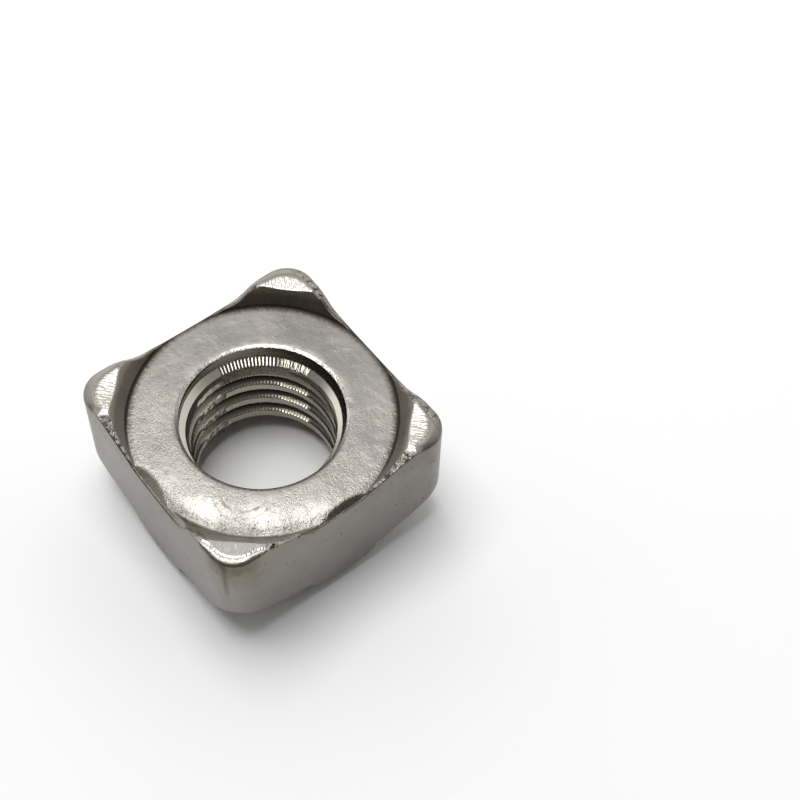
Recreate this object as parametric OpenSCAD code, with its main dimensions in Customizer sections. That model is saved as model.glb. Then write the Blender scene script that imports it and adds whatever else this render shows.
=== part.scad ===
// Square weld nut, M12, with a round collar on one side and a raised
// projection on each corner of the other side. Millimetres, +Z up.
// The nut lies on its collar; the bore axis is the Z axis and the collar
// rim lies on z = 0. One piece, forged from stainless steel, then tapped.

/* [Body] */
// Width across the flats of the square body
across_flats = 19; // [17:0.25:30]
// Rounding radius of the four upright corners
corner_r = 2.1; // [0.8:0.1:3]
// Height from the collar rim to the weld seat
seat_h = 9.5; // [8:0.25:16]

/* [Bore] */
// Diameter at the thread crests
bore_d = 10.2; // [6:0.1:10.8]
// Radial width of the countersink at the weld seat
sink_w = 0.35; // [0.2:0.05:0.6]
// Depth of the countersink below the weld seat
sink_depth = 1; // [0.5:0.05:1.4]
// Radial width of the lead-in below the countersink
lead_w = 0.65; // [0.3:0.05:0.8]
// Depth of the lead-in below the countersink
lead_depth = 0.8; // [0.4:0.05:1.2]

/* [Weld projections] */
// Height of a projection above the weld seat
projection_h = 1.1; // [0.6:0.05:1.8]
// Plan run of a projection's inner wall, from the fold to the crest
wall_run = 0.85; // [0.4:0.05:1.1]
// Height above the weld seat where the inner wall turns from round to flat
flat_start_h = 0.2; // [0.1:0.05:0.4]
// How far the straight inner edge of the crest lies outside the round wall
chord_set = 0.06; // [0.02:0.01:0.15]
// Depth of the fold below the weld seat
fold_drop = 0.15; // [0.1:0.05:0.5]
// Width of the broken rim of the weld seat
rim_w = 0.6; // [0.3:0.05:1]
// Width of the crest, measured along the diagonal
crest_w = 1.35; // [0.8:0.05:1.7]
// Slope of the bevel outside the crest, in degrees
tip_slope = 30; // [20:1:50]

/* [Edge between projections] */
// Depth of the hollow edge below the weld seat, at the middle of a side
hollow_dip = 0.35; // [0.1:0.05:0.8]
// Length of side, from the corner, over which a projection has its full height
projection_len = 3.4; // [2.5:0.1:4.2]
// Rise of the hollow edge towards the middle of the nut, in degrees
hollow_tilt = 22; // [15:1:40]

/* [Collar] */
// Radius of the rounded outside of the collar
collar_round = 1.75; // [1:0.05:2]
// How far the collar's widest line stands outside the flats
collar_over = 0.15; // [0.05:0.05:0.4]
// Width of the flat rim of the collar
rim_flat_w = 0.75; // [0.4:0.05:1]
// Depth of the step inside the rim
step_depth = 0.45; // [0.2:0.05:0.7]
// Plan width of the steeper ring at the mouth of the bore
mouth_w = 0.8; // [0.3:0.05:1]
// Depth of that ring's outer edge, counted from the rim
dish_depth = 0.95; // [0.8:0.05:1.1]
// Depth of the bore's lower edge, counted from the rim
mouth_depth = 1.35; // [1.15:0.05:2]

/* [Corner undersides] */
// Width of the gentle part of the underside, outside the collar
under_w = 1.95; // [1:0.05:2.5]
// Slope of the underside next to the collar, in degrees
under_slope = 31; // [20:1:40]
// Slope of the underside at the outer tip, in degrees
tip_under_slope = 50; // [42:1:60]

/* [Hidden] */
$fn = 96;
// Half of the square, and a radius safely outside its corners
half = across_flats / 2;
clear_r = half * sqrt(2) + corner_r;
// Bore, lead-in and countersink
bore_r = bore_d / 2;
lead_r = bore_r + lead_w;
sink_r = lead_r + sink_w;
lead_z = seat_h - sink_depth;
// Weld side, from the seat out to the tips
fold_r = half;
seat_r = fold_r - rim_w;
crest_in = fold_r + wall_run;
crest_out = crest_in + crest_w;
crest_z = seat_h + projection_h;
tip_drop = (clear_r - crest_out) * tan(tip_slope);
// Collar side, from the rim out to the tips
collar_r = half + collar_over;
rim_out = collar_r - collar_round;
rim_in = rim_out - rim_flat_w;
mouth_r = bore_r + mouth_w;
bend_r = collar_r + under_w;
bend_z = collar_round + under_w * tan(under_slope);
under_z = bend_z + (clear_r - bend_r) * tan(tip_under_slope);
// Arc of the hollow edge, as a leaning cylinder
hollow_reach = half - projection_len;
hollow_rise = projection_h + hollow_dip;
hollow_arc = (hollow_reach * hollow_reach + hollow_rise * hollow_rise) / (2 * hollow_rise);
hollow_r = hollow_arc / cos(hollow_tilt);
hollow_in = 2 * hollow_rise / sin(hollow_tilt);
// Flat cut that makes the crest's inner edge a straight chord
wall_slope = (projection_h + fold_drop) / wall_run;
flat_r = fold_r + (flat_start_h + fold_drop) / wall_slope - chord_set;
flat_slope = (projection_h - flat_start_h) / (crest_in + chord_set - flat_r);
flat_top_r = flat_r + projection_h / flat_slope;

// Section of the nut on one side of the axis, all but the square outline
module section() {
    union() {
        polygon([
            [rim_in, 0],
            [rim_out, 0],
            [rim_out, collar_round],
            [collar_r, collar_round],
            [bend_r, bend_z],
            [clear_r, under_z],
            [clear_r, crest_z - tip_drop],
            [crest_out, crest_z],
            [crest_in, crest_z],
            [fold_r, seat_h - fold_drop],
            [seat_r, seat_h],
            [sink_r, seat_h],
            [lead_r, lead_z],
            [bore_r, lead_z - lead_depth],
            [bore_r, mouth_depth],
            [mouth_r, dish_depth],
            [rim_in, step_depth]
        ]);
        // Rounded outside of the collar
        intersection() {
            translate([rim_out, collar_round]) circle(r = collar_round);
            translate([rim_out - rim_flat_w / 2, 0]) square([collar_round * 2, collar_round]);
        }
    }
}

// Square outline with rounded corners
module outline() {
    inner = across_flats - 2 * corner_r;
    union() {
        square([across_flats, inner], center = true);
        square([inner, across_flats], center = true);
        for (x = [-1, 1], y = [-1, 1])
            translate([x * inner / 2, y * inner / 2]) circle(r = corner_r);
    }
}

// Hollow edge of one side, cut by a cylinder that leans out over the flat
module hollow() {
    translate([half, 0, seat_h - hollow_dip])
        rotate([0, hollow_tilt - 90, 0])
            translate([hollow_r, 0, -hollow_r])
                cylinder(r = hollow_r, h = hollow_r + hollow_in, $fn = 180);
}

// Flat inner face of one projection, square to the diagonal
module chord_cut() {
    rotate([90, 0, 0])
        linear_extrude(height = half, center = true)
            polygon([
                [flat_r, seat_h + flat_start_h],
                [flat_top_r, seat_h + flat_start_h + projection_h],
                [flat_r, seat_h + flat_start_h + projection_h]
            ]);
}

// Forged square weld nut, one solid
module weld_nut() {
    color([0.66, 0.65, 0.62])
    difference() {
        intersection() {
            rotate_extrude() section();
            linear_extrude(height = crest_z) outline();
        }
        for (a = [0 : 90 : 270])
            rotate([0, 0, a]) hollow();
        for (a = [45 : 90 : 315])
            rotate([0, 0, a]) chord_cut();
    }
}

weld_nut();
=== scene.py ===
import math
import bpy
from mathutils import Matrix, Vector


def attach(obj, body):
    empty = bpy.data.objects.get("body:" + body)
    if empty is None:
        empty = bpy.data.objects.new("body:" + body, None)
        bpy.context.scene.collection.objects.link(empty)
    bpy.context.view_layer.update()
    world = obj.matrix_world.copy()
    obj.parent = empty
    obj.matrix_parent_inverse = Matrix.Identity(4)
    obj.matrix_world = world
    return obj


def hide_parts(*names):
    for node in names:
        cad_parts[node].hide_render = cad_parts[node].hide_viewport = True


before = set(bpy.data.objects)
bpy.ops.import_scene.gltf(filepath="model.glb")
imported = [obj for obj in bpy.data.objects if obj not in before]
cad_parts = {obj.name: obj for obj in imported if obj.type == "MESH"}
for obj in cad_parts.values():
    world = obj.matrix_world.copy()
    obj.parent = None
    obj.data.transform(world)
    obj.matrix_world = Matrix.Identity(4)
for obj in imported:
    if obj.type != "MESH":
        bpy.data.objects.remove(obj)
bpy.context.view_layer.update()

# The forging
# A square weld nut, cold forged from stainless steel: a round collar below, a coined weld seat
# on top and a raised projection on each corner. It is pierced, countersunk and tapped M12.


class Flow:
    """A socket of a node tree. Sums on it are written as plain expressions."""

    def __init__(self, tree, socket):
        self.tree = tree
        self.socket = socket

    def node(self, kind, settings=None, inputs=None, out=0):
        """Adds any node: its settings first, then the values or links of its inputs."""
        made = self.tree.nodes.new(kind)
        for name, value in (settings or {}).items():
            if name == "stops":
                ramp = made.color_ramp
                while len(ramp.elements) < len(value):
                    ramp.elements.new(1.0)
                for stop, (place, colour) in zip(ramp.elements, value):
                    stop.position = place
                    stop.color = colour
            else:
                setattr(made, name, value)
        for key, value in (inputs or {}).items():
            if isinstance(value, Flow):
                self.tree.links.new(value.socket, made.inputs[key])
            else:
                made.inputs[key].default_value = value
        return Flow(self.tree, made.outputs[out])

    def math(self, operation, *others):
        terms = dict(enumerate((self,) + others))
        return self.node("ShaderNodeMath", {"operation": operation}, terms)

    def __add__(self, other):
        return self.math("ADD", other)

    def __radd__(self, other):
        return self.math("ADD", other)

    def __sub__(self, other):
        return self.math("SUBTRACT", other)

    def __rsub__(self, other):
        return self.node("ShaderNodeMath", {"operation": "SUBTRACT"}, {0: other, 1: self})

    def __mul__(self, other):
        return self.math("MULTIPLY", other)

    def __rmul__(self, other):
        return self.math("MULTIPLY", other)

    def __truediv__(self, other):
        return self.math("DIVIDE", other)

    def __rtruediv__(self, other):
        return self.node("ShaderNodeMath", {"operation": "DIVIDE"}, {0: other, 1: self})

    def span(self, start, end):
        """Zero up to start, one from end on, straight between them."""
        return self.node("ShaderNodeMapRange", {}, {"Value": self, "From Min": start, "From Max": end})

    def soft_span(self, start, end):
        """As span, with eased ends."""
        settings = {"interpolation_type": "SMOOTHSTEP"}
        limits = {"Value": self, "From Min": start, "From Max": end}
        return self.node("ShaderNodeMapRange", settings, limits)

    def to(self, other, share):
        """Goes from this value to the other by a share."""
        return self + (other - self) * share

    def slope(self):
        """Rise over run of an angle in degrees."""
        return (self * math.radians(1)).math("TANGENT")

    def soft_min(self, other, blend):
        return self.math("SMOOTH_MIN", other, blend)

    def soft_max(self, other, blend):
        return self.math("SMOOTH_MAX", other, blend)


def along(row, stops):
    """A size that runs straight from stop to stop, by row number."""
    size = stops[0][1]
    for (start, low), (end, high) in zip(stops, stops[1:]):
        size = size + row.span(start, end) * (high - low)
    return size


# Sizes of the forging in millimetres and degrees, as named inputs of its node tree
nut_sizes = {
    "across flats": 19.0,
    "corner radius": 2.1,
    "seat height": 9.5,
    "crest diameter": 10.2,
    "countersink width": 0.78,
    "countersink depth": 1.0,
    "countersink step": 0.66,
    "countersink lip": 0.3,
    "lip fall": 0.1,
    "countersink shift": 0.16,
    "shoulder width": 0.44,
    "shoulder depth": 0.6,
    "lead depth": 1.0,
    "pitch": 1.75,
    "thread depth": 0.72,
    "crest flat": 0.7,
    "thread start": 0.2211,
    "projection height": 1.1,
    "wall run": 0.85,
    "chord set": 0.06,
    "flank wall run": 1.05,
    "near chord lean": 4.5,
    "near chord set": 0.35,
    "near fold drop": 0.36,
    "far fold drop": 0.02,
    "seat rim": 0.6,
    "near seat rim": 1.6,
    "near seat droop": 0.08,
    "crest tilt": 5.5,
    "facet rim blend": 0.15,
    "facet dip": 0.5,
    "right facet dip": 0.43,
    "facet tilt": 29.0,
    "facet reach": 3.4,
    "right facet reach": 3.0,
    "facet shift": 0.85,
    "right facet shift": 0.5,
    "flank start": 2.4,
    "flank rise": 0.28,
    "near edge radius": 0.14,
    "far edge radius": 0.25,
    "far flank radius": 0.7,
    "near tip radius": 0.52,
    "tip radius": 1.15,
    "tip flattening": 0.6,
    "burr height": 0.05,
    "lower edge radius": 0.25,
    "collar round": 1.75,
    "collar over": 0.15,
    "rim flat": 0.75,
    "rim edge": 0.08,
    "step depth": 0.45,
    "mouth width": 0.8,
    "dish depth": 0.95,
    "mouth depth": 1.35,
    "underside width": 1.95,
    "underside slope": 31.0,
    "tip underside slope": 50.0,
}
columns = 400
rows_per_turn = 17
thread_rows = 101

# Rows of the outside, from the bore's upper edge on, where one surface ends and the next begins
lip_row = 6
seat_row = 12
edge_row = 64
side_row = 72
low_row = 90
under_row = 95
foot_row = 107
collar_row = 109
rim_row = 122
rim_end_row = 126
step_row = 129
step_foot_row = 131
dish_row = 133
shell_rows = 140

forging = bpy.data.node_groups.new("forged_weld_nut", "GeometryNodeTree")
forging.interface.new_socket(name="Nut", in_out="OUTPUT", socket_type="NodeSocketGeometry")
size_sockets = {}
for name, value in nut_sizes.items():
    socket = forging.interface.new_socket(name=name, in_out="INPUT", socket_type="NodeSocketFloat")
    socket.default_value = value
    size_sockets[name] = socket
given = forging.nodes.new("NodeGroupInput")
size = {name: Flow(forging, given.outputs[name]) for name in nut_sizes}

half = size["across flats"] / 2
bore_r = size["crest diameter"] / 2
sink_r = bore_r + size["countersink width"]
lip = size["countersink lip"]
seat_h = size["seat height"]

# Angle about the bore, with the columns drawn together towards the corners
place = half.node("GeometryNodeInputPosition")
grid_x = place.node("ShaderNodeSeparateXYZ", {}, {0: place}, 0)
grid_y = place.node("ShaderNodeSeparateXYZ", {}, {0: place}, 1)
even_turn = (grid_x + 0.5) * math.tau
corner_draw = 0.0875
turn = even_turn + (even_turn * 4).math("SINE") * corner_draw
cos_turn = turn.math("COSINE")
sin_turn = turn.math("SINE")
cos_size = cos_turn.math("ABSOLUTE")
sin_size = sin_turn.math("ABSOLUTE")
major = cos_size.math("MAXIMUM", sin_size)
minor = cos_size.math("MINIMUM", sin_size)

# Distance from the bore axis to the rounded square outline
corner_r = size["corner radius"]
corner_in = half - corner_r
towards = corner_in * (major + minor)
arc_square = towards * towards - 2 * corner_in * corner_in + corner_r * corner_r
outline_arc = towards + arc_square.math("MAXIMUM", 0.0).math("SQRT")
outline_flat = half / major
on_arc = (half * minor / major).math("GREATER_THAN", corner_in)
outline = outline_flat.to(outline_arc, on_arc)

# Radius of the upper edge: broad on the tips, small on the two sheared sides
aside = (cos_size - sin_size).math("ABSOLUTE")
on_tip = 1 - aside.soft_span(0.17, 0.3)
near_share = (cos_turn - sin_turn) / math.sqrt(2)
far_side = near_share.math("LESS_THAN", 0.0)
lateral = half * minor / major
flank_share = lateral.soft_span(2.0, 5.0)
far_edge = size["far edge radius"].to(size["far flank radius"], flank_share)
side_edge = size["near edge radius"].to(far_edge, far_side)
near_tip = near_share.soft_span(0.6, 0.95)
tip_edge = size["tip radius"].to(size["near tip radius"], near_tip)
upper_edge = side_edge.to(tip_edge, on_tip)
upper_drop = upper_edge * (1 - (upper_edge - 0.14).span(0.0, 1.0) * size["tip flattening"])
lower_edge = size["lower edge radius"]

# Height of the weld side above the seat: rim, fold, projection wall, crest and hollow edge
row = (grid_y + 0.5) * shell_rows
field_r = 8.0
top_end = outline - upper_edge
top_r = along(row, [(0, sink_r), (lip_row, sink_r + lip), (seat_row, field_r), (edge_row, top_end)])
fold_r = half
rise = size["projection height"]
near_fold = near_share.soft_span(0.6, 0.97)
drop = size["far fold drop"].to(size["near fold drop"], near_fold)
rim_place = half.node("ShaderNodeCombineXYZ", {}, {0: cos_turn * fold_r, 1: sin_turn * fold_r})
rim_noise = half.node("ShaderNodeTexNoise", {}, {"Vector": rim_place, "Scale": 1.6, "Detail": 3.0})
ragged_r = fold_r + (rim_noise - 0.5) * 0.5 * near_fold
rim_w = size["seat rim"].to(size["near seat rim"], near_fold)
seat_rim = (ragged_r - rim_w - top_r) * drop / rim_w
droop = top_r.span(7.0, 9.4).math("POWER", 2.0) * near_share.soft_span(0.2, 0.9) * size["near seat droop"]
seat_field = seat_rim.soft_min(0.0, 0.25) - droop
near_lean = size["near chord lean"].slope() * near_share.soft_span(0.7, 0.9)
towards_chord = (major + minor + (cos_turn + sin_turn) * near_lean) / math.sqrt(2)
chord_set = size["chord set"] + size["near chord set"] * near_fold
straight_r = (fold_r + size["wall run"] + chord_set) / towards_chord
chord_r = straight_r.soft_min(fold_r + size["flank wall run"] + near_fold * size["near chord set"], 0.1)
wall = (top_r - fold_r) * (rise + drop) / (chord_r - fold_r) - drop
crest = rise + (top_r - top_end) * size["crest tilt"].slope()
crest_blend = 0.07 + near_fold * 0.12
fold_blend = 0.05 + near_fold * 0.3
projection = wall.soft_min(crest, crest_blend)
plain_top = seat_field.soft_max(projection, fold_blend)
beside = top_r * minor
inward = half - top_r * major
burr_place = half.node("ShaderNodeCombineXYZ", {}, {0: top_r * cos_turn, 1: top_r * sin_turn})
burr_noise = half.node("ShaderNodeTexNoise", {}, {"Vector": burr_place, "Scale": 4.0, "Detail": 3.0})
burr = (burr_noise - 0.5) * 2 * size["burr height"] * beside.span(1.5, 3.5)
flank_line = ((beside - size["flank start"]) * size["flank rise"]).soft_max(0.0, 0.15) + 0.03
flank_top = flank_line + inward * 0.05 + burr
facet_lean = size["facet tilt"].slope()
on_right = cos_turn.soft_span(0.6, 0.75)
far_shallower = 0.65
facet_dip = size["facet dip"].to(size["right facet dip"], on_right) * (1 - far_side * far_shallower)
near_along = top_r * (cos_turn - sin_turn - major)
facet_shift = size["facet shift"].to(size["right facet shift"], on_right)
facet_reach = size["facet reach"].to(size["right facet reach"], on_right)
shifted = (near_along - facet_shift).math("ABSOLUTE")
from_facet = shifted.to(beside, far_side)
facet_end = facet_dip * (from_facet / facet_reach).math("POWER", 5.0) * 1.1
facet = inward * facet_lean - facet_dip + facet_end + burr
hollow = flank_top.soft_min(facet, 0.03)
strip_blend = 0.08
cut_blend = size["facet rim blend"].to(strip_blend, beside.soft_span(2.5, 4.0))
weld_side = plain_top.soft_min(hollow, cut_blend)
lip_fall = (1 - row.span(0, lip_row)).math("POWER", 1.5) * size["lip fall"]
top_z = seat_h + weld_side - lip_fall

# Rounded upper edge of the flats
upper_turn = row.span(edge_row, side_row) * (math.pi / 2)
edge_r = upper_edge * upper_turn.math("SINE")
edge_z = upper_drop * (1 - upper_turn.math("COSINE"))

# Height of the underside: rounded collar, then the two slopes of the corner
collar_round = size["collar round"]
collar_r = half + size["collar over"]
rim_out = collar_r - collar_round
gentle_slope = size["underside slope"].slope()
steep_slope = size["tip underside slope"].slope()
bend_r = collar_r + size["underside width"]


def underside(radius):
    """Height of the underside at a distance from the bore axis."""
    gentle = collar_round + (radius - collar_r) * gentle_slope
    bend_z = collar_round + size["underside width"] * gentle_slope
    steep = bend_z + (radius - bend_r) * steep_slope
    corner = gentle.soft_max(steep, 0.4)
    inside = radius - rim_out
    bowed = collar_round * collar_round - inside * inside
    collar = collar_round - bowed.math("MAXIMUM", 0.0).math("SQRT")
    beyond = radius.math("GREATER_THAN", collar_r)
    return collar.to(corner, beyond)


low_r = outline - lower_edge
foot_r = low_r.math("MINIMUM", collar_r + 0.15)
under_r = along(row, [(under_row, low_r), (foot_row, foot_r)])
low_z = underside(low_r)
foot_z = underside(foot_r)
lower_turn = row.span(low_row, under_row) * (math.pi / 2)
collar_share = ((foot_r - rim_out) / collar_round).math("MINIMUM", 0.97)
collar_start = collar_share.math("ARCSINE")
collar_turn = collar_start * (1 - row.span(collar_row, rim_row))

# Rim, step and dish inside the collar
rim_in = rim_out - size["rim flat"]
rim_edge = size["rim edge"]
mouth_r = bore_r + size["mouth width"]
step = size["step depth"]
dish = size["dish depth"]
recess_r = along(row, [
    (rim_row, 0.0),
    (rim_end_row, rim_in + rim_edge - rim_out),
    (step_row, rim_in - rim_out),
    (step_foot_row, rim_in - rim_out),
    (dish_row, rim_in - rim_edge - rim_out),
    (shell_rows, mouth_r - rim_out),
])
recess_z = along(row, [
    (rim_end_row, 0.0),
    (step_row, rim_edge),
    (step_foot_row, step - rim_edge),
    (dish_row, step),
    (shell_rows, dish),
])

# The closed section, from the countersink over the weld side and down to the bore's lower mouth
shell_r = (
    top_r + edge_r
    - lower_edge * (1 - lower_turn.math("COSINE"))
    + (under_r - low_r)
    + (rim_out + collar_round * collar_share - foot_r) * row.span(foot_row, collar_row)
    + collar_round * (collar_turn.math("SINE") - collar_share)
    + recess_r
)
shell_z = (
    top_z - edge_z
    + (low_z + lower_edge - (top_z - upper_drop)) * row.span(side_row, low_row)
    - lower_edge * lower_turn.math("SINE")
    + (underside(under_r) - low_z)
    + (collar_round * (1 - collar_start.math("COSINE")) - foot_z) * row.span(foot_row, collar_row)
    + collar_round * (collar_start.math("COSINE") - collar_turn.math("COSINE"))
    + recess_z
)

# The tapped bore: rows that climb with the thread, cut off by the countersink and the lower mouth
thread_row = (grid_y + 0.5) * thread_rows
thread_share = thread_row / rows_per_turn
climb = dish + size["pitch"] * (thread_share - 1 + turn / math.tau)
bore_top = seat_h - size["lip fall"]
bore_z = climb.math("MAXIMUM", dish).math("MINIMUM", bore_top)
from_crest = (thread_share - size["thread start"]).math("WRAP", 0.5, -0.5).math("ABSOLUTE")
flank = (from_crest * size["pitch"] - size["crest flat"] / 2) / math.tan(math.radians(30))
run_out = 1 - (bore_z - seat_h).soft_span(-1.95, -1.6)
groove = flank.soft_max(0.0, 0.06).soft_min(size["thread depth"], 0.2) * run_out
sink_z = seat_h - size["countersink depth"]
shift = size["countersink shift"] * (turn - math.radians(52.3)).math("COSINE")
step_r = bore_r + size["countersink step"] - shift
sink_wall = step_r + (bore_z - sink_z) * (sink_r - step_r) / (bore_top - sink_z)
shoulder = step_r + (bore_z - sink_z) * size["shoulder width"] / size["shoulder depth"]
lead_z = sink_z - size["shoulder depth"]
lead_gain = (step_r - size["shoulder width"] - bore_r).math("MAXIMUM", 0.0)
lead = bore_r + lead_gain * (1 + (bore_z - lead_z) / size["lead depth"])
mouth_cone = bore_r + (size["mouth depth"] - bore_z) * size["mouth width"] / (size["mouth depth"] - dish)
tapped = (bore_r + groove).soft_max(lead, 0.03)
bore_wall = tapped.soft_max(sink_wall.soft_min(shoulder, 0.03), 0.03).soft_max(mouth_cone, 0.05)


def flat_grid(rows):
    """A flat grid of columns and rows, one unit square."""
    counts = {"Size X": 1.0, "Size Y": 1.0, "Vertices X": columns + 1, "Vertices Y": rows + 1}
    return half.node("GeometryNodeMeshGrid", {}, counts)


def marked(mesh, name, value):
    """Keeps a value on every point of a flat grid, for the material to read."""
    settings = {"data_type": "FLOAT", "domain": "POINT"}
    inputs = {"Geometry": mesh, "Name": name, "Value": value}
    return mesh.node("GeometryNodeStoreNamedAttribute", settings, inputs)


def wrapped(mesh, radius, height):
    """The flat grid wrapped round the bore axis, at that radius and height."""
    x = radius * cos_turn * 0.001
    y = radius * sin_turn * 0.001
    point = half.node("ShaderNodeCombineXYZ", {}, {0: x, 1: y, 2: height * 0.001})
    return half.node("GeometryNodeSetPosition", {}, {"Geometry": mesh, "Position": point})


on_top = 1 - row.span(edge_row, edge_row + 2)
is_raised = (projection - seat_field).soft_span(-0.05, 0.1)
is_crest = is_raised * (wall - crest).soft_span(-0.12, 0.02) * on_top
is_cut = (plain_top - hollow).soft_span(-0.03, 0.04) * on_top
is_facet = is_cut * (flank_top - facet).soft_span(-0.02, 0.03)
is_strip = is_cut * (1 - is_facet)
is_wall = is_raised * (1 - is_crest) * (1 - is_cut) * on_top
is_side = row.span(edge_row + 3, side_row) * (1 - row.span(low_row + 2, under_row))
shell = flat_grid(shell_rows)
shell = marked(shell, "crest", is_crest * (1 - is_cut))
shell = marked(shell, "strip", is_strip)
shell = marked(shell, "facet", is_facet)
shell = marked(shell, "rim_gap", top_end - top_r)
shell = marked(shell, "wall", is_wall)
shell = marked(shell, "side", is_side)
shell = wrapped(shell, shell_r, shell_z)
on_thread = 1 - (bore_z - lead_z).span(-0.1, 0.0)
bore = marked(flat_grid(thread_rows), "root", (groove / size["thread depth"]) * on_thread)
bore = marked(bore, "from_crest", from_crest * size["pitch"] + 5 * (1 - on_thread))
bore = marked(bore, "in_bore", 1.0)
bore = wrapped(bore, bore_wall, bore_z)
joined = forging.nodes.new("GeometryNodeJoinGeometry")
forging.links.new(bore.socket, joined.inputs[0])
forging.links.new(shell.socket, joined.inputs[0])
both = Flow(forging, joined.outputs[0])
welded = both.node("GeometryNodeMergeByDistance", {}, {"Geometry": both, "Distance": 1e-6})
turned = welded.node("GeometryNodeFlipFaces", {}, {"Mesh": welded})
smooth = turned.node("GeometryNodeSetShadeSmooth", {}, {0: turned, "Shade Smooth": True})

# Stainless steel: coined and grainy on the seat, ribbed on the crests, drawn on the flats
steel = bpy.data.materials.new("forged_stainless")
steel.use_nodes = True
steel_tree = steel.node_tree
surface = steel_tree.nodes["Principled BSDF"]
surface.inputs["Metallic"].default_value = 1.0
metres = Flow(steel_tree, steel_tree.nodes.new("ShaderNodeTexCoord").outputs["Object"])
spot = metres.node("ShaderNodeVectorMath", {"operation": "SCALE"}, {0: metres, "Scale": 1000.0})
spot_x = spot.node("ShaderNodeSeparateXYZ", {}, {0: spot}, 0)
spot_y = spot.node("ShaderNodeSeparateXYZ", {}, {0: spot}, 1)
spot_z = spot.node("ShaderNodeSeparateXYZ", {}, {0: spot}, 2)
spot_r = (spot_x * spot_x + spot_y * spot_y).math("SQRT")
spot_turn = spot_y.math("ARCTAN2", spot_x)


def kept(name):
    """A value that the forging left on the mesh."""
    return spot.node("ShaderNodeAttribute", {"attribute_name": name}, {}, "Fac")


def noise(vector, scale, detail=2.0, roughness=0.5):
    """Noise with so many lumps to a millimetre, about zero."""
    settings = {"Vector": vector, "Scale": scale, "Detail": detail, "Roughness": roughness}
    return spot.node("ShaderNodeTexNoise", {}, settings) - 0.5


def stretched(x, y, z):
    """A point whose axes are drawn out or closed up, for noise with a direction."""
    return spot.node("ShaderNodeCombineXYZ", {}, {0: x, 1: y, 2: z})


def tint(share, first, second):
    """Goes from the first colour to the second."""
    return spot.node("ShaderNodeMix", {"data_type": "RGBA"}, {0: share, 6: first, 7: second}, 2)


crest_zone = kept("crest")
strip_zone = kept("strip")
facet_zone = kept("facet")
wall_zone = kept("wall")
side_zone = kept("side")
root_zone = kept("root")
bore_zone = kept("in_bore")
crest_gap = kept("from_crest")
rim_gap = kept("rim_gap")
cut_zone = strip_zone + facet_zone
plain_zone = (1 - crest_zone) * (1 - cut_zone) * (1 - wall_zone) * (1 - side_zone) * (1 - bore_zone)
upside = spot_z.span(8.9, 9.1)
tip_zone = plain_zone * upside * spot_r.span(9.7, 9.95)
seat_zone = plain_zone * (1 - tip_zone)

blotch = noise(spot, 0.35, 3.0)
lumps = noise(spot, 1.3, 2.0)
grain = noise(spot, 6.0, 3.0, 0.6)
fine = noise(spot, 11.0, 2.0)
streaks = noise(stretched(spot_turn * 38 + lumps * 1.5, spot_r * 0.9, 0.0), 1.0, 3.0)
drawn = noise(stretched(spot_x * 5, spot_y * 5, spot_z * 0.5), 1.0, 3.0)
patches = noise(spot, 2.4, 3.0, 0.6)
across = (spot_x.math("ABSOLUTE") - spot_y.math("ABSOLUTE")) / math.sqrt(2)
outward = (spot_x.math("ABSOLUTE") + spot_y.math("ABSOLUTE")) / math.sqrt(2)
ribs = noise(stretched(across * 5.5, outward * 1.1, 0.0), 1.0, 2.0)
near_way = (spot_x - spot_y) / math.sqrt(2)
dot_gap = spot.node("ShaderNodeTexVoronoi", {}, {"Vector": spot, "Scale": 1.3}, "Distance")
dots = (1 - (dot_gap + fine * 0.1).soft_span(0.06, 0.16)) * noise(spot, 0.6, 2.0).span(-0.08, 0.12)

# Chatter left by the countersinking tool and the tap on the far side of the bore, and bright patches on the
# far left thread crests, painted as a highlight
towards_far = spot_x * -0.772 + spot_y * 0.636
towards_left = spot_x * -0.612 - spot_y * 0.791
far_turn = towards_left.math("ARCTAN2", towards_far)
chatter_side = far_turn.soft_span(-0.62, -0.57) * (1 - far_turn.soft_span(0.62, 0.66))
bars = (far_turn * 134 + lumps * 1.5).math("COSINE") * 0.5 + 0.5
hatch = (noise(stretched(far_turn * 150, spot_z * 1.5, 0.0), 1.0, 2.0) * 5 + 0.5).span(0.0, 1.0)
lands = bars.to(hatch, far_turn.soft_span(-0.05, -0.25))
shoulder_band = spot_z.soft_span(7.88, 7.94) * (1 - spot_z.soft_span(8.44, 8.52))
crest_edge = (1 - (crest_gap - 0.36).math("ABSOLUTE").span(0.0, 0.14)) * (1 - spot_z.span(7.2, 7.4))
chatter = chatter_side * bore_zone * shoulder_band
edge_marks = chatter_side * bore_zone * crest_edge * bars * (0.3 + far_turn.soft_span(-0.1, -0.3) * 0.7)
bright_patch_side = far_turn.soft_span(0.6, 0.75) * (1 - far_turn.soft_span(1.0, 1.3))
on_crests = (1 - root_zone.soft_span(0.1, 0.4)) * (1 - spot_z.span(7.4, 7.6))
bright_patches = bright_patch_side * on_crests * (patches + 0.25).span(0.0, 0.45)

# Flecks, arcs and worn places of the weld side
flecks = noise(spot, 3.2, 2.0).soft_span(0.16, 0.25)
worn = (noise(spot, 0.5, 2.0) * 4 + 0.55).span(0.0, 1.0)
ragged = tip_zone * spot_y.span(8.5, 9.0)
near_bead = (1 - (rim_gap - 0.3).math("ABSOLUTE").span(0.0, 0.17)) * near_way.span(9.5, 10.5)
arc_x = spot_x - 4.1
arc_y = spot_y + 4.35
arc_r = (arc_x * arc_x + arc_y * arc_y).math("SQRT") + lumps * 0.4
inner_arc = 1 - (arc_r - 1.85).math("ABSOLUTE").span(0.0, 0.14)
outer_arc = 1 - (arc_r - 2.35).math("ABSOLUTE").span(0.0, 0.1)
broken = near_way.span(6.8, 7.3) * upside * (patches + 0.15).span(0.0, 0.25)
arcs = (inner_arc + outer_arc * 0.5) * broken
near_seat = near_way.span(-3.0, 7.0)
rings = (spot_r * 3.1 + lumps * 2.5).math("SINE")
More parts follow.
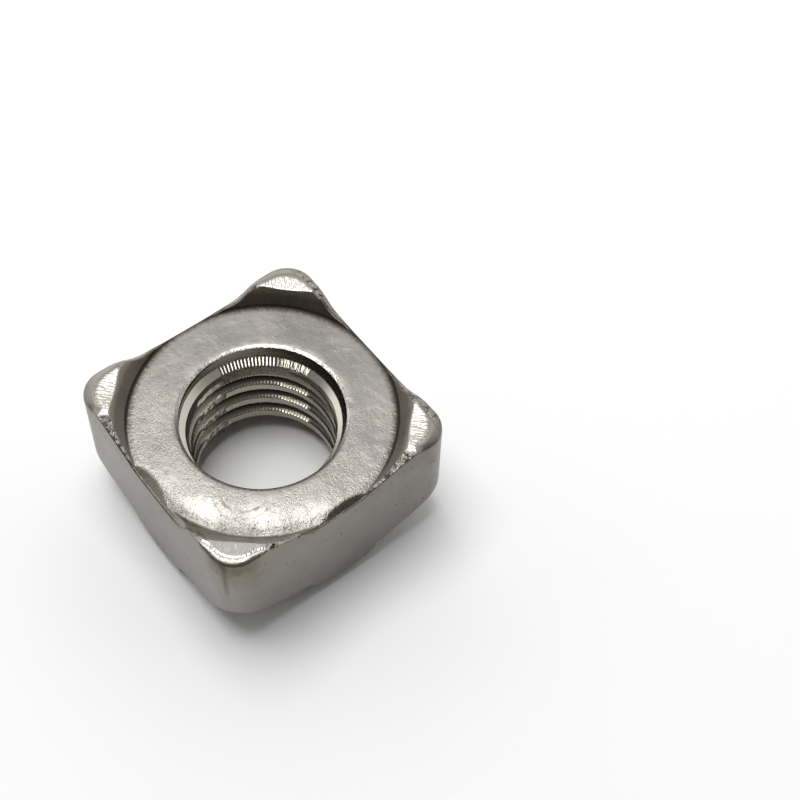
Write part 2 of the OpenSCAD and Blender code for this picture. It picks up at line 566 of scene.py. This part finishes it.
sparkle = (0.35 + near_seat * 1.3) * (0.3 + worn * 0.9)
rim_start = 8.95 - near_seat * 0.35
rim_share = ((spot_r - rim_start) * 2.2).soft_span(0.0, 1.0) * upside
lip_share = upside * (1 - (spot_r + grain * 0.25).soft_span(6.0, 6.14))
near_lip = lip_share * near_way.soft_span(-1.0, 3.0)
burr_side = spot_x.span(8.85, 9.15) * spot_y.span(-7.0, -6.6) * (1 - spot_y.span(-3.6, -3.0))
burr_marks = burr_side * upside * (1 - side_zone) * (1 - facet_zone) * (1 - crest_zone)

# Heights of all marks in millimetres, for the bump
height = (
    seat_zone * sparkle * (grain * 0.022 + fine * 0.012 + patches * 0.014)
    + seat_zone * upside * (lumps * 0.03 + rings * 0.003 + flecks * 0.015 + arcs * 0.03)
    + seat_zone * lip_share * grain * 0.03
    + seat_zone * rim_share * (streaks * 0.035 + patches * 0.05 + near_seat * grain * 0.03)
    + crest_zone * (ribs * 0.05 + grain * 0.012 + near_bead * 0.06)
    + ragged * (patches * 0.16 + grain * 0.05)
    + burr_marks * (patches * 0.2 + grain * 0.06)
    + strip_zone * (patches * 0.2 + grain * 0.06 + fine * 0.03)
    + facet_zone * (streaks * 0.025 + fine * 0.01)
    + wall_zone * (grain * 0.006 + lumps * 0.02 + near_seat * (patches * 0.03 + grain * 0.02))
    + side_zone * (drawn * 0.012 + lumps * 0.02 + fine * 0.006 - dots * 0.03)
) * 0.001
relief = spot.node("ShaderNodeBump", {}, {"Height": height, "Distance": 1.0, "Strength": 1.0})

# The countersink's lower band, its lands and the bright patches on the threads face up, to catch the light
band_lift = 0.5 + far_turn.soft_span(0.0, 0.6) * 0.4
lift_z = bore_zone * (shoulder_band * band_lift + bright_patches * 2.1)
lift_z = lift_z + chatter * (lands * 2.0 - 1.0) + edge_marks * 3.2
lift = stretched(0.0, 0.0, lift_z)
facing = relief.node("ShaderNodeVectorMath", {"operation": "ADD"}, {0: relief, 1: lift})
facing = facing.node("ShaderNodeVectorMath", {"operation": "NORMALIZE"}, {0: facing})
steel_tree.links.new(facing.socket, surface.inputs["Normal"])

# Colours, from bare steel to brown stains, with painted highlights and painted shade
bright_steel = (0.29, 0.274, 0.252, 1)
grey_steel = (0.21, 0.199, 0.183, 1)
colour = tint((blotch * 2.2 + 0.5 + grain * 0.5).span(0.0, 1.0), grey_steel, bright_steel)
# The crests and burr marks are burnished; the near part of the seat gets the same light colour as a painted
# highlight
burnish_and_highlight = (0.44, 0.421, 0.390, 1)
near_seat_highlight = seat_zone * upside * near_way.span(4.0, 8.0) * 0.4
colour = tint((crest_zone + near_seat_highlight + burr_marks).span(0.0, 1.0), colour, burnish_and_highlight)
drawn_steel = (0.34, 0.323, 0.296, 1)
colour = tint(side_zone * 0.5 + tip_zone * 0.8, colour, drawn_steel)
# Painted highlight on the countersink's lip, except on its near part
painted_lip_highlight = (0.56, 0.53, 0.49, 1)
colour = tint(seat_zone * (lip_share - near_lip) * 0.9, colour, painted_lip_highlight)
# Painted shade: the projection walls are painted dark brown, least on the near side
wall_shade = wall_zone * (0.8 - near_way.span(-5.0, 8.0) * 0.65)
shade_brown = (0.20, 0.165, 0.125, 1)
colour = tint(wall_shade, colour, shade_brown)
facet_brown = (0.30, 0.262, 0.212, 1)
colour = tint(facet_zone * 0.7, colour, facet_brown)
# Painted light: the tops of the walls are painted a lighter straw colour
lit_wall_top = wall_zone * (spot_z + lumps * 0.3).soft_span(10.1, 10.4) * 0.7
wall_top_highlight = (0.42, 0.375, 0.29, 1)
colour = tint(lit_wall_top, colour, wall_top_highlight)
tapped_steel = (0.38, 0.35, 0.295, 1)
turned_steel = (0.72, 0.68, 0.585, 1)
painted_highlight_beige = (0.84, 0.77, 0.62, 1)
colour = tint(bore_zone, colour, tapped_steel)
colour = tint(bore_zone * shoulder_band, colour, turned_steel)
# Painted highlight: bright beige on the patches of the far left crests and on the chatter marks of the
# crest edges
colour = tint(bore_zone * (bright_patches + edge_marks).span(0.0, 1.0), colour, painted_highlight_beige)
near_corner = side_zone * (near_way + lumps).soft_span(11.0, 12.4)
# Painted shade where the near seat rolls down into the fold, broken up by streaks
near_rim_roll_shade = seat_zone * upside * near_way.span(5.0, 8.0) * (spot_r + streaks * 0.8).soft_span(9.0, 9.5)
colour = tint(near_rim_roll_shade * 0.55, colour, shade_brown)
haze = side_zone * (spot_z + lumps * 2.5).soft_span(7.6, 9.8) * 0.45
haze_brown = (0.25, 0.214, 0.162, 1)
colour = tint(haze, colour, haze_brown)
stain = near_corner * (spot_z + lumps * 2.5).soft_span(6.5, 9.8)
stain_brown = (0.23, 0.19, 0.125, 1)
colour = tint(stain * 0.75, colour, stain_brown)

# Dark film on the pits, specks and patches, and painted shade in the folds, on the far walls, in the
# countersink, in the thread's roots and on the right-hand flat
film_and_shade_colour = (0.045, 0.036, 0.028, 1)
far_rim = upside * (1 - near_way.span(1.0, 6.0))
# Painted shade on the far seat's outer rim, by the walls
far_fold_shade = seat_zone * far_rim * (spot_r + streaks * 0.5).soft_span(8.9, 9.4) * 0.8
beside_corner = ((spot_x + spot_y) / math.sqrt(2) + 0.4 + grain * 0.4).math("ABSOLUTE")
drip = (1 - beside_corner.span(0.05, 0.3)) * spot_z.span(5.5, 7.5)
# Painted shade and dirt in the fold at the foot of the walls, which is also rougher
in_fold = 1 - (spot_r - 9.48).math("ABSOLUTE").soft_span(0.03, 0.16)
fold_shade_and_dirt = in_fold * far_rim * (1 - side_zone) * (1 - cut_zone) * 0.85
valley_marks = wall_zone * near_way.span(4.0, 8.0) * (patches + streaks * 0.5).soft_span(0.0, 0.25)
reach_out = spot_x.math("ABSOLUTE").math("MAXIMUM", spot_y.math("ABSOLUTE"))
facet_side = near_way.span(3.0, 4.5) * (1 - near_way.span(9.0, 10.0)) * (1 - spot_x.span(8.0, 9.0))
dull_edge = plain_zone * reach_out.span(9.3, 9.42) * facet_side * spot_z.span(8.6, 8.8)
left_end = near_way.span(7.0, 8.5) * (1 - spot_y.span(-8.9, -8.2)) * (1 - near_way.span(10.5, 11.0))
left_marks = (seat_zone + wall_zone) * upside * left_end * (patches + 0.2).span(0.0, 0.3)
# Painted shade on the near corner below the rim, and a darker streak beside the corner edge lower down
near_rim_shade_and_streak = near_corner * (drip * 0.5 + (spot_z + lumps * 1.5).soft_span(8.8, 10.0) * 0.4)
film_and_shade = (
    # Painted shade on the far walls, lighter towards their tops
    wall_zone * (0.6 - spot_z.span(9.6, 10.6) * 0.35 + streaks * 0.5) * (1 - near_way.span(-4.0, 4.0))
    # Painted shade on the upper part of the countersink
    + bore_zone * spot_z.soft_span(8.5, 8.58) * 0.6
    # Painted shade in the thread's roots
    + root_zone.soft_span(0.1, 0.7) * bore_zone * 0.95
    + side_zone * (dots * 0.8 + drawn.soft_span(0.05, 0.3) * 0.12 + blotch.span(0.0, 0.3) * 0.2)
    # Painted shade on the right-hand flat, darker towards its far end
    + side_zone * spot_x.span(9.0, 9.3) * spot_y.span(-3.0, 9.0) * 0.3
    + side_zone * grain.soft_span(0.08, 0.22) * 0.25
    + crest_zone * near_way.span(9.5, 10.5) * (patches + 0.1).span(0.0, 0.3) * 0.08 * (1 - near_bead)
    + ragged * (patches + grain * 0.4).soft_span(0.0, 0.1) * 0.8
    + strip_zone * (patches + grain * 0.4).soft_span(0.0, 0.08) * 0.85
    + facet_zone * (spot_x.span(8.0, 8.6) * 0.6 + streaks * 0.4)
    # Painted shade between the chatter lands
    + chatter * (1 - lands) * 0.8
    # The last term is painted shade on the near part of the countersink's lip
    + far_fold_shade + fold_shade_and_dirt + near_rim_shade_and_streak + seat_zone * near_lip * 0.75
    + valley_marks * 0.5 + dull_edge * 0.6 + left_marks * 0.5
    + burr_marks * (patches + grain * 0.4).soft_span(0.0, 0.1) * 0.7
).span(0.0, 1.0)
colour = tint(film_and_shade, colour, film_and_shade_colour)
steel_tree.links.new(colour.socket, surface.inputs["Base Color"])
gloss = (
    0.34 + blotch * 0.1 + grain * 0.12
    + side_zone * 0.05 + wall_zone * 0.06 + fold_shade_and_dirt * 0.25
    - crest_zone * 0.08 - lip_share * 0.08 - bore_zone * 0.06 - strip_zone * 0.08
)
steel_tree.links.new(gloss.span(0.0, 1.0).socket, surface.inputs["Roughness"])

# The finished mesh, taken off the node tree
whole = smooth.node("GeometryNodeRealizeInstances", {}, {"Geometry": smooth})
finished = whole.node("GeometryNodeSetMaterial", {}, {"Geometry": whole, "Material": steel})
result = forging.nodes.new("NodeGroupOutput")
forging.links.new(finished.socket, result.inputs[0])

blank = bpy.data.objects.new("weld_nut_blank", bpy.data.meshes.new("weld_nut_blank"))
bpy.context.scene.collection.objects.link(blank)
forge = blank.modifiers.new("forge", "NODES")
forge.node_group = forging
for name, value in nut_sizes.items():
    forge[size_sockets[name].identifier] = value
evaluated = blank.evaluated_get(bpy.context.evaluated_depsgraph_get())
nut_mesh = bpy.data.meshes.new_from_object(evaluated)
nut_mesh.name = "forged_nut"
blank.modifiers.remove(forge)
bpy.data.objects.remove(blank)
nut = bpy.data.objects.new("forged_nut", nut_mesh)
bpy.context.scene.collection.objects.link(nut)
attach(nut, "root")
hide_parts("weld_nut")

# The floor
# A plain white sheet that the nut lies on. It keeps the nut's soft shadow.
floor_mesh = bpy.data.meshes.new("white_sheet")
reach = 0.6
floor_mesh.from_pydata(
    [(-reach, -reach, 0), (reach, -reach, 0), (reach, reach, 0), (-reach, reach, 0)], [], [(0, 1, 2, 3)])
floor = bpy.data.objects.new("white_sheet", floor_mesh)
bpy.context.scene.collection.objects.link(floor)
paper = bpy.data.materials.new("white_paper")
paper.use_nodes = True
paper_face = paper.node_tree.nodes["Principled BSDF"]
paper_face.inputs["Base Color"].default_value = (0.94, 0.94, 0.94, 1)
paper_face.inputs["Roughness"].default_value = 0.9
floor_mesh.materials.append(paper)

# The light
# Soft boxes above and behind the nut, and a dim room around it.
room = bpy.data.worlds.new("studio")
room.use_nodes = True
room.node_tree.nodes["Background"].inputs["Color"].default_value = (1, 1, 1, 1)
room.node_tree.nodes["Background"].inputs["Strength"].default_value = 0.16
bpy.context.scene.world = room


def soft_box(name, place, width, depth, watts):
    """A rectangular lamp at a place, turned to face the nut."""
    lamp = bpy.data.lights.new(name, "AREA")
    lamp.shape = "RECTANGLE"
    lamp.size = width
    lamp.size_y = depth
    lamp.energy = watts
    box = bpy.data.objects.new(name, lamp)
    box.location = place
    aim = Vector((0, 0, 0.006)) - box.location
    box.rotation_euler = aim.to_track_quat("-Z", "Y").to_euler()
    bpy.context.scene.collection.objects.link(box)


soft_box("far_panel", (-0.36, 0.3, 0.46), 0.6, 0.6, 1.0)
soft_box("key_panel", (-0.11, -0.03, 0.6), 0.38, 0.38, 2.6)
soft_box("back_wall", (-0.42, 0.34, 0.11), 0.8, 0.22, 0.6)
soft_box("left_wall", (-0.48, -0.17, 0.2), 0.6, 0.4, 0.75)
soft_box("right_wall", (0.12, 0.48, 0.26), 0.6, 0.5, 0.6)

# The camera
# The photograph's viewing angle: from the front right, well above the nut, turned a little.
azimuth = math.radians(50.529)
elevation = math.radians(56.345)
roll = math.radians(2.078)
back = Vector((
    math.sin(azimuth) * math.cos(elevation), -math.cos(azimuth) * math.cos(elevation), math.sin(elevation)))
right = Vector((math.cos(azimuth), math.sin(azimuth), 0))
upward = back.cross(right)
level_right = right * math.cos(roll) + upward * math.sin(roll)
level_up = upward * math.cos(roll) - right * math.sin(roll)
eye = bpy.data.cameras.new("photo_view")
eye.sensor_width = 36.0
eye.lens = 76.5
eye.clip_start = 0.005
camera = bpy.data.objects.new("photo_view", eye)
turning = Matrix((level_right, level_up, back)).transposed().to_4x4()
camera.matrix_world = Matrix.Translation((0.055785, -0.033592, 0.108833)) @ turning
bpy.context.scene.collection.objects.link(camera)
bpy.context.scene.camera = camera

bpy.context.scene.view_settings.view_transform = "Standard"
